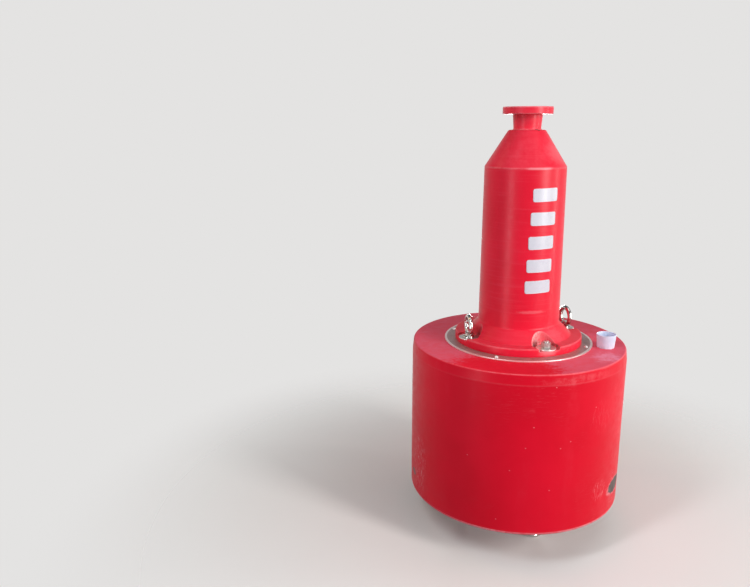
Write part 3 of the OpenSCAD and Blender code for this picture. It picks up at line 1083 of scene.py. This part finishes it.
def pocketRays(edge, column):
    # the pocket's patch in plan: rays from the stud to the patch's border, all with the same rings
    shape, grid = towerShape, footGrid
    rim, tube = shape["flangeRadius"], shape["tubeRadius"]
    pocket, seat = shape["pocketRadius"], shape["seatHeight"]
    draft = math.tan(math.radians(shape["pocketDraft"]))
    crossing = math.acos((rim ** 2 + studCircle ** 2 - pocket ** 2) / (2 * rim * studCircle))
    before, closeFrom, closeTo, past = grid["crossing"]
    few, many, others = grid["crossingRays"]
    half = sorted({0.0, *np.linspace(0, crossing - before, few),
                   *np.linspace(crossing - closeFrom, crossing + closeTo, many),
                   *np.linspace(crossing + past, edge, others)})
    rimTurns = [-a for a in half[:0:-1]] + half
    radii = footRadii()
    border = [(rim, a) for a in rimTurns] + [(r, edge) for r in radii[1:]]
    border += [(tube, edge - i * column) for i in range(1, round(2 * edge / column))]
    border += [(r, -edge) for r in radii[:0:-1]]
    middle = Vector((studCircle, 0))
    rays = []
    for across, angle in border:
        end = Vector(onCircle(across, angle, 0)[:2])
        way, length = (end - middle).normalized(), (end - middle).length
        # the lip is where the drafted wall comes out, found in a few rounds
        lip = pocket
        for _ in range(grid["lipRounds"]):
            lip = pocket + (outerHeight((middle + way * lip).length) - seat) * draft
        reaches = [*grid["seatRings"], *[pocket + (lip - pocket) * part for part in grid["wallShares"]],
                   *[lip + outside for outside in grid["lipRings"]]]
        last = reaches[-1]
        reaches += [last + max(0.0, length - last) * part for part in grid["outerShares"]]
        count = len(reaches)
        ray = []
        for i, reach in enumerate(reaches):
            reach = min(reach, length - (count - i) * grid["leastStep"])
            spot = middle + way * reach
            inWall = min(1.0, max(0.0, (reach - pocket) / (lip - pocket)))
            ray.append((spot.x, spot.y, seat + inWall * (outerHeight(spot.length) - seat)))
        rays.append(ray + [(end.x, end.y, borderHeight(end.x, end.y))])
    return rays, rimTurns


def footMesh():
    # a polar grid with a finer patch round each stud; every free point settles on the rounded surface
    shape, grid = towerShape, footGrid
    sides, rim, tube, half = shape["sides"], shape["flangeRadius"], shape["tubeRadius"], grid["patchColumns"]
    column = 2 * math.pi / sides
    radii = footRadii()
    points, faces, rimTurns = [], [], []
    rays, patchTurns = pocketRays(half * column, column)
    for quarter in range(4):
        turn = quarter * math.pi / 2
        cosine, sine = math.cos(turn), math.sin(turn)
        first = len(points)
        points.append((studCircle * cosine, studCircle * sine, shape["seatHeight"]))
        for ray in rays:
            points += [(x * cosine - y * sine, x * sine + y * cosine, z) for x, y, z in ray]
        deep = len(rays[0])
        for i in range(len(rays)):
            a, b = first + 1 + i * deep, first + 1 + (i + 1) % len(rays) * deep
            faces.append((first, a, b))
            faces += [(a + k, a + k + 1, b + k + 1, b + k) for k in range(deep - 1)]
        rimTurns += [turn + a for a in patchTurns]
        # the plain stretch up to the next patch
        first = len(points)
        plain = [turn + (half + i) * column for i in range(sides // 4 - 2 * half + 1)]
        for angle in plain:
            for across in radii:
                x, y, _ = onCircle(across, angle, 0)
                points.append((x, y, borderHeight(x, y)))
        deep = len(radii)
        for i in range(len(plain) - 1):
            a, b = first + i * deep, first + (i + 1) * deep
            faces += [(a + k, b + k, b + k + 1, a + k + 1) for k in range(deep - 1)]
        rimTurns += plain[1:-1]
    place = np.array(points)
    across = np.hypot(place[:, 0], place[:, 1])
    free = (across < rim - grid["rimBorder"]) & (across > tube + grid["tubeBorder"])
    place[free] = settle(place[free], footDistance, grid["settleRounds"])
    vertices = [tuple(p) for p in place]
    # rim wall and underside
    rows = []
    for level, inset in ((None, 0.0), *grid["rimRows"]):
        rows.append(range(len(vertices), len(vertices) + len(rimTurns)))
        for angle in rimTurns:
            x, y, _ = onCircle(rim - inset, angle, 0)
            vertices.append((x, y, rimHeight(x, y) if level is None else level))
    for upper, lower in zip(rows, rows[1:]):
        for i in range(len(rimTurns)):
            j = (i + 1) % len(rimTurns)
            faces.append((upper[i], lower[i], lower[j], upper[j]))
    middle = len(vertices)
    vertices.append((0, 0, 0))
    faces += [(middle, rows[-1][(i + 1) % len(rimTurns)], rows[-1][i]) for i in range(len(rimTurns))]
    return vertices, faces


def cutLanternHoles(tower, low, high):
    # plain through holes for the lantern's bolts
    shape = towerShape
    radius, circle = shape["lanternHoleRadius"] * millimetre, shape["lanternHoleCircle"] * millimetre
    vertices, faces = [], []
    for i in range(shape["lanternHoles"]):
        angle = math.radians(shape["lanternHoleTurn"] + 360 * i / shape["lanternHoles"])
        right, back, _ = onCircle(circle, angle, 0)
        outline = [(0, low), (radius, low), (radius, high), (0, high)]
        pin, pinFaces = latheMesh(outline, shape["lanternHoleSides"])
        faces += [tuple(len(vertices) + k for k in face) for face in pinFaces]
        vertices += [(x + right, y + back, z) for x, y, z in pin]
    pins = makeObject("lanternHolePins", vertices, faces, towerPlastic)
    cut = tower.modifiers.new("lantern holes", "BOOLEAN")
    cut.operation = "DIFFERENCE"
    cut.solver = "EXACT"
    cut.object = pins
    plainMesh(tower)
    bpy.data.objects.remove(pins)
    tower.data.set_sharp_from_angle(angle=math.radians(shape["sharpDegrees"]))


def makeTower():
    shape = towerShape
    base = nodeHeights("tower_body")[0]
    coneFoot, coneTop = shape["tubeHeight"], shape["tubeHeight"] + shape["coneHeight"]
    seat = coneTop + shape["neckHeight"]
    top = seat + shape["lanternHeight"]
    outline = roundedOutline([
        (shape["tubeRadius"], shape["skirtHead"], 0),
        (shape["tubeTopRadius"], coneFoot, shape["tubeTopRounding"]),
        (shape["coneTopRadius"], coneTop, shape["coneTopRounding"]),
        (shape["neckRadius"], coneTop, shape["neckRounding"]),
        (shape["neckTopRadius"], seat, shape["lanternRounding"]),
        (shape["lanternRadius"], seat, shape["lanternRounding"]),
        (shape["lanternRadius"], top, shape["lanternTopRounding"]),
        (0, top, 0),
    ])
    outline = finePoints(guarded(outline, shape["guard"]), shape["rowHeight"])
    vertices, faces = footMesh()
    first = len(vertices)
    upper, upperFaces = latheMesh(outline, shape["sides"])
    vertices += upper
    bottomCentre = len(upper) - 2
    faces += [tuple(first + i for i in face) for face in upperFaces if bottomCentre not in face]
    placed = inMetres([(x, y, z + base) for x, y, z in vertices])
    tower = makeObject("towerShell", placed, faces, towerPlastic)
    weld(tower.data, shape["weld"])
    spare = shape["cutSpare"]
    cutLanternHoles(tower, (seat + base - spare) * millimetre, (top + base + spare) * millimetre)
    finishPiece(tower, "tower", "tower_body")


makeTower()


# Steel ring plates above and under the float

plateShape = {"boreRadius": 150.0, "outerRadius": 276.0, "edge": 1.4, "guard": 1.5, "sides": 256}


def makePlates():
    shape = plateShape
    for name, node in (("upperRingPlate", "ring_plate_top"), ("lowerRingPlate", "ring_plate_bottom")):
        outline = roundedRing(shape["boreRadius"], shape["outerRadius"], *nodeHeights(node), shape["edge"])
        vertices, faces = latheMesh(inMetres(guarded(outline, shape["guard"], True)), shape["sides"])
        finishPiece(makeObject(name, vertices, faces, plateSteel), "plate_steel", node)


makePlates()


# Hardware set round the axis with Geometry Nodes: washers, nuts, studs and plate screws

directions = ("right", "back", "left", "front")


def makeRoundAxisTree():
    tree = bpy.data.node_groups.new("set round the axis", "GeometryNodeTree")
    for name, kind in (("Part", "Geometry"), ("Count", "Int"), ("Radius", "Float"),
                       ("First Angle", "Float"), ("Finish", "Material")):
        tree.interface.new_socket(name, in_out="INPUT", socket_type="NodeSocket" + kind)
    tree.interface.new_socket("Parts", in_out="OUTPUT", socket_type="NodeSocketGeometry")
    given = addNode(tree, "NodeGroupInput").outputs
    number = addNode(tree, "GeometryNodeInputIndex").outputs["Index"]
    turned = addNode(tree, "ShaderNodeMath", {0: number, 1: given["Count"]}, operation="DIVIDE")
    angle = addNode(tree, "ShaderNodeMath", {
        0: turned.outputs[0], 1: 2 * math.pi, 2: given["First Angle"],
    }, operation="MULTIPLY_ADD").outputs[0]
    cosine = addNode(tree, "ShaderNodeMath", {0: angle}, operation="COSINE")
    sine = addNode(tree, "ShaderNodeMath", {0: angle}, operation="SINE")
    way = addNode(tree, "ShaderNodeCombineXYZ", {"X": cosine.outputs[0], "Y": sine.outputs[0]})
    spot = addNode(tree, "ShaderNodeVectorMath", {
        0: way.outputs[0], "Scale": given["Radius"],
    }, operation="SCALE")
    turn = addNode(tree, "ShaderNodeCombineXYZ", {"Z": angle})
    points = addNode(tree, "GeometryNodePoints", {"Count": given["Count"], "Position": spot.outputs[0]})
    rotation = addNode(tree, "FunctionNodeEulerToRotation", {0: turn.outputs[0]})
    copies = addNode(tree, "GeometryNodeInstanceOnPoints", {
        "Points": points.outputs[0], "Instance": given["Part"], "Rotation": rotation.outputs[0],
    })
    real = addNode(tree, "GeometryNodeRealizeInstances", {0: copies.outputs[0]})
    finish = addNode(tree, "GeometryNodeSetMaterial", {
        "Geometry": real.outputs[0], "Material": given["Finish"],
    })
    addNode(tree, "NodeGroupOutput", {"Parts": finish.outputs[0]})
    return tree


roundAxisTree = makeRoundAxisTree()


def setRoundAxis(name, outline, sides, pull, count=4, radius=studCircle, firstDegrees=0.0):
    # one part turned at the axis from an outline in millimetres, then set count times on a circle
    piece = makeObject(name, *latheMesh(inMetres(outline), sides, pull), satinSteel)
    modifier = piece.modifiers.new("set round the axis", "NODES")
    modifier.node_group = roundAxisTree
    given = {"Count": count, "Radius": radius * millimetre, "First Angle": math.radians(firstDegrees),
             "Finish": satinSteel}
    for item in roundAxisTree.interface.items_tree:
        if item.name in given:
            modifier[item.identifier] = given[item.name]
    return plainMesh(piece)


def hexReach(angle, acrossFlats, turn):
    # radius of a hexagon at an angle
    inner = (angle - math.radians(turn)) % (math.pi / 3) - math.pi / 6
    return acrossFlats / 2 / math.cos(inner)


washerShape = {"holeRadius": 10.3, "radius": 35.0, "edge": 0.9, "guard": 1.0, "sides": 96}


def makeWashers():
    shape = washerShape
    for name, level in (("upperWashers", "top"), ("lowerWashers", "bottom")):
        heights = nodeHeights("washer_%s_front" % level)
        outline = roundedRing(shape["holeRadius"], shape["radius"], *heights, shape["edge"])
        washers = setRoundAxis(name, guarded(outline, shape["guard"], True), shape["sides"], None)
        finishPiece(washers, "fastener_steel", *["washer_%s_%s" % (level, way) for way in directions])


nutShape = {
    "acrossFlats": 30.0,
    "chamfer": 0.62,              # share of the corner that sticks out past the flats
    "faceIn": 0.6,                # the face's edge is this far inside the flats
    "faceEdge": 0.4,
    "holeRadius": 10.3,
    "holeChamfer": 1.2,
    "holeEdge": 0.3,
    "edgeSteps": 3,
    "rowHeight": 0.7,
    "sides": 72,
    # piece: CAD nodes, at which studs, degrees of the first one and of the hexagon's turn
    "sets": {
        "upperNuts": ("nut_top", ("back", "front"), 90, 12.0),
        "lowerNuts": ("nut_bottom", directions, 0, 0.0),
        "lockNuts": ("lock_nut", directions, 0, 20.0),
    },
}


def nutOutline(low, high):
    shape = nutShape
    flats, corner = shape["acrossFlats"] / 2, shape["acrossFlats"] / math.sqrt(3)
    face, chamfer = flats - shape["faceIn"], (corner - flats) * shape["chamfer"]
    hole, inner, edge = shape["holeRadius"], shape["holeChamfer"], shape["holeEdge"]
    outline = roundedOutline([
        (face, low, shape["faceEdge"]), (corner, low + chamfer, 0),
        (corner, high - chamfer, 0), (face, high, shape["faceEdge"]),
        (hole + inner, high, edge), (hole, high - inner, edge),
        (hole, low + inner, edge), (hole + inner, low, edge),
    ], shape["edgeSteps"])
    return finePoints(outline + outline[:1], shape["rowHeight"])[:-1]


def makeNuts():
    shape = nutShape
    for name, (level, ways, firstDegrees, turn) in shape["sets"].items():
        def hexPull(angle, radius, height, turn=turn):
            return max(0.0, radius - hexReach(angle, shape["acrossFlats"] * millimetre, turn))

        outline = nutOutline(*nodeHeights(level + "_front"))
        nuts = setRoundAxis(name, outline, shape["sides"], hexPull, len(ways), studCircle, firstDegrees)
        finishPiece(nuts, "fastener_steel", *[level + "_" + way for way in ways])


studShape = {
    "radius": 10.0,
    "threadDepth": 1.35,
    "threadPitch": 2.5,
    "flankSlope": 1.25,
    "crest": 0.1,                 # how much of the flank is cut off flat
    "threadRow": 0.36,
    "coveredRow": 60.0,           # where a nut or the float covers the stud
    "bareFoot": 8.0,
    "underNut": 1.0,              # how far thread goes on under a nut
    "endChamfer": (1.5, 1.2),
    "sides": 36,
}


def makeStuds():
    # the studs show their thread only where nothing covers it
    shape = studShape
    low, high = nodeHeights("stud_front")
    lockTop, nutTop = (nodeHeights(node)[1] for node in ("lock_nut_front", "nut_top_front"))
    nutLow = nodeHeights("nut_bottom_front")[0]
    under = shape["underNut"]
    bared = [(low, low + shape["bareFoot"]), (lockTop - under, nutLow + under), (nutTop - under, high)]
    radius, (inwards, along) = shape["radius"], shape["endChamfer"]
    first, last = low + along, high - along
    stops = sorted({first, last, *[z for stretch in bared for z in stretch if first < z < last]})
    side = [(radius, first)]
    for start, end in zip(stops, stops[1:]):
        inThread = any(a <= (start + end) / 2 <= b for a, b in bared)
        rowHeight = shape["threadRow"] if inThread else shape["coveredRow"]
        side += finePoints([(radius, start), (radius, end)], rowHeight)[1:]
    outline = [(0, low), (radius - inwards, low), *side, (radius - inwards, high), (0, high)]

    def threadPull(angle, reach, height):
        z = height / millimetre
        isSide = reach > (radius - inwards / 2) * millimetre
        if not isSide or not any(a <= z <= b for a, b in bared):
            return 0.0
        wave = abs(2 * ((z / shape["threadPitch"] - angle / (2 * math.pi)) % 1) - 1)
        part = wave * shape["flankSlope"] - shape["crest"]
        return shape["threadDepth"] * millimetre * min(1.0, max(0.0, part))

    studs = setRoundAxis("threadedStuds", outline, shape["sides"], threadPull)
    finishPiece(studs, "fastener_steel", *["stud_" + way for way in directions])


screwShape = {
    "circle": 257.5,
    "firstDegrees": 45.0,
    "headRadius": 7.5,
    "height": 4.4,
    "socketRadius": 4.0,
    "key": 6.0,                   # across the socket's flats
    "near": 0.05,                 # points this close to the socket's edge belong to it
    "under": ((-7.5, -0.2), (-0.3, -0.2), (0.0, 0.5)),      # from the head's edge and the plate
    "domeFoot": 0.6,
    "dome": (0.12, 0.95, 8),      # first and last angle, number of points
    # from the socket's edge and the head's top, with roundings
    "inside": ((0.6, -0.1, 0), (0.0, -0.3, 0.2), (0.0, -2.8, 0), (-0.3, -2.9, 0), (-4.0, -3.2, 0)),
    "sides": 48,
}


def makeScrews():
    # button head screws that hold the upper plate down
    shape = screwShape
    low = nodeHeights("ring_plate_top")[1]
    head, socket, top = shape["headRadius"], shape["socketRadius"], low + shape["height"]
    foot, dome = low + shape["domeFoot"], shape["height"] - shape["domeFoot"]
    outline = [(head + x, low + z) for x, z in shape["under"]]
    outline += [(head * math.cos(a), foot + dome * math.sin(a)) for a in np.linspace(*shape["dome"])]
    outline += roundedOutline([(socket + x, top + z, rounding) for x, z, rounding in shape["inside"]])

    def socketPull(angle, reach, height):
        if reach > (socket + shape["near"]) * millimetre:
            return 0.0
        return max(0.0, reach - hexReach(angle, shape["key"] * millimetre, 0))

    screws = setRoundAxis("plateScrews", outline, shape["sides"], socketPull, 4, shape["circle"],
                          shape["firstDegrees"])
    finishPiece(screws, "fastener_steel")


makeWashers()
makeNuts()
makeStuds()
makeScrews()


# Forged eye nuts: two to lift by, four to moor by

eyeShape = {
    "height": 86.0,
    "bar": 17.0,
    "outside": 84.0,
    "collarRadius": 22.0,
    "collarThick": 5.0,
    "collarEdge": 2.0,            # this and the next four are the softness of where shapes meet
    "neckHollow": 9.0,
    "ringHollow": 4.0,
    "seatEdge": 1.0,
    "holeEdge": 0.8,
    "neckRadius": 13.5,
    "holeRadius": 10.3,
    "voxel": 1.35,
    "weld": 1e-6,
    "settleRounds": 5,
}
eyeNuts = {
    # piece: CAD node, stud number, turn in degrees, seat side (1 up, -1 hanging)
    "liftingEyeRight": ("lifting_eye_right", 0, 88, 1),
    "liftingEyeLeft": ("lifting_eye_left", 2, 79, 1),
    "mooringEyeRight": ("mooring_eye_right", 0, 90, -1),
    "mooringEyeBack": ("mooring_eye_back", 1, 180, -1),
    "mooringEyeLeft": ("mooring_eye_left", 2, 270, -1),
    "mooringEyeFront": ("mooring_eye_front", 3, 360, -1),
}


def eyeDistance(points):
    # ring and collar of an eye nut that grow out of each other, with its seat at height 0
    shape = eyeShape
    x, y, z = points.T
    across = np.hypot(x, y)
    centre = shape["height"] - shape["outside"] / 2
    ringRadius = (shape["outside"] - shape["bar"]) / 2
    ring = np.hypot(np.hypot(x, z - centre) - ringRadius, y) - shape["bar"] / 2
    collar = smoothMost(across - shape["collarRadius"], z - shape["collarThick"], shape["collarEdge"])
    neck = np.maximum(across - shape["neckRadius"], z - shape["bar"])
    whole = smoothLeast(smoothLeast(collar, neck, shape["neckHollow"]), ring, shape["ringHollow"])
    whole = smoothMost(whole, -z, shape["seatEdge"])
    hole = np.maximum(across - shape["holeRadius"], z - centre)
    return smoothMost(whole, -hole, shape["holeEdge"])


def makeEyes():
    for name, (node, stud, degrees, side) in eyeNuts.items():
        mesh = cadNodes[node].data.copy()
        weld(mesh, eyeShape["weld"])
        piece = bpy.data.objects.new(name, mesh)
        bpy.context.scene.collection.objects.link(piece)
        remesh = piece.modifiers.new("even faces", "REMESH")
        remesh.mode = "VOXEL"
        remesh.voxel_size = eyeShape["voxel"] * millimetre
        plainMesh(piece)
        low, high = nodeHeights(node)
        origin = np.array(onCircle(studCircle, math.radians(90 * stud), low if side > 0 else high))
        turn = np.array(Matrix.Rotation(math.radians(degrees), 3, "Z")) @ np.diag([1, 1, side])
        points = np.empty(len(piece.data.vertices) * 3)
        piece.data.vertices.foreach_get("co", points)
        local = (points.reshape(-1, 3) / millimetre - origin) @ turn
        local = settle(local, eyeDistance, eyeShape["settleRounds"])
        piece.data.vertices.foreach_set("co", ((local @ turn.T + origin) * millimetre).ravel())
        piece.data.materials.clear()
        piece.data.materials.append(polishedSteel)
        piece.data.shade_smooth()
        finishPiece(piece, "polished_steel", node)


makeEyes()


# Cup-shaped filler cap on the float

capShape = {
    "fromAxis": 322.0,
    "degrees": -36.0,
    "footRadius": 31.0,
    "footEdge": 1.0,
    "rimRadius": 35.5,
    "rimEdge": 1.3,
    "height": 50.0,
    "rim": 3.0,
    "hollow": 38.0,
    "hollowRounding": 4.0,
    "plugRadius": 22.0,
    "plugEdge": 2.0,
    "plugLength": 36.0,
    "guard": 1.0,
    "rowHeight": 8.0,
    "sides": 96,
}


def makeCap():
    shape = capShape
    base = nodeHeights("float_body")[1]
    inner = shape["rimRadius"] - shape["rim"]
    slope = (shape["rimRadius"] - shape["footRadius"]) / shape["height"]
    floor = shape["height"] - shape["hollow"]
    outline = roundedOutline([
        (0, -shape["plugLength"], 0), (shape["plugRadius"], -shape["plugLength"], shape["plugEdge"]),
        (shape["plugRadius"], 0, 0), (shape["footRadius"], 0, shape["footEdge"]),
        (shape["rimRadius"], shape["height"], shape["rimEdge"]), (inner, shape["height"], shape["rimEdge"]),
        (inner - slope * shape["hollow"], floor, shape["hollowRounding"]), (0, floor, 0),
    ])
    outline = finePoints(guarded(outline, shape["guard"]), shape["rowHeight"])
    middle = Vector(onCircle(shape["fromAxis"], math.radians(shape["degrees"]), base)) * millimetre
    vertices, faces = latheMesh(inMetres(outline), shape["sides"])
    vertices = [tuple(Vector(v) + middle) for v in vertices]
    finishPiece(makeObject("fillerCap", vertices, faces, capPlastic), "cap", "filler_cap")


makeCap()


# Five plain white reflective bars down the tower's front

barShape = {
    "wide": 98.0,
    "tall": 46.0,
    "corner": 7.0,
    "proud": 0.35,
    "sunk": -0.6,
    "wallRows": 7,
    "cornerRows": 7,
    "columns": 28,
    # middle of each bar: degrees round the axis, height in millimetres, tilt in degrees
    "places": ((271.8, 1290.0, 1.2), (269.8, 1207.5, 0.6), (268.2, 1123.5, 1.5), (267.0, 1041.4, 0.9),
               (265.8, 965.6, 1.8)),
}


def towerRadius(height, base):
    # radius of the tube's wall at a height above the floor, in millimetres
    shape = towerShape
    past = (height - base - shape["skirtHead"]) / (shape["tubeHeight"] - shape["skirtHead"])
    return shape["tubeRadius"] + (shape["tubeTopRadius"] - shape["tubeRadius"]) * past


def makeBars():
    shape = barShape
    halfWide, corner, columns = shape["wide"] / 2, shape["corner"], shape["columns"]
    straight = shape["tall"] / 2 - corner
    arc = np.linspace(0, math.pi / 2, shape["cornerRows"])
    rowHeights = sorted({*np.linspace(-straight, straight, shape["wallRows"]),
                         *[side * (straight + corner * math.sin(a)) for side in (-1, 1) for a in arc]})
    rows, wide = len(rowHeights), columns + 1
    base = nodeHeights("tower_body")[0]
    vertices, faces = [], []
    for degrees, height, tilt in shape["places"]:
        first = len(vertices)
        lean = math.radians(tilt)
        for proud in (shape["proud"], shape["sunk"]):
            for v in rowHeights:
                past = max(0.0, abs(v) - straight)
                reach = halfWide - corner + math.sqrt(max(0.0, corner ** 2 - past ** 2))
                for column in range(wide):
                    u = reach * (2 * column / columns - 1)
                    across = u * math.cos(lean) - v * math.sin(lean)
                    z = height + u * math.sin(lean) + v * math.cos(lean)
                    wall = towerRadius(z, base)
                    angle = math.radians(degrees) + across / wall
                    vertices.append(onCircle(wall + proud, angle, z))
        deep = rows * wide        # from a point in front to the one behind it
        cells = [first + r * wide + c for r in range(rows - 1) for c in range(columns)]
        faces += [(a, a + 1, a + wide + 1, a + wide) for a in cells]
        edge = ([first + c for c in range(wide)] + [first + r * wide + columns for r in range(1, rows)]
                + [first + (rows - 1) * wide + c for c in range(columns - 1, -1, -1)]
                + [first + r * wide for r in range(rows - 2, 0, -1)])
        faces += [(a, a + deep, b + deep, b) for a, b in zip(edge, edge[1:] + edge[:1])]
        faces += [(a + deep, a + deep + wide, a + deep + wide + 1, a + deep + 1) for a in cells]
    bars = makeObject("reflectiveBars", inMetres(vertices), faces, reflectiveSheet)
    finishPiece(bars, "cap")


makeBars()
print("all pieces made")
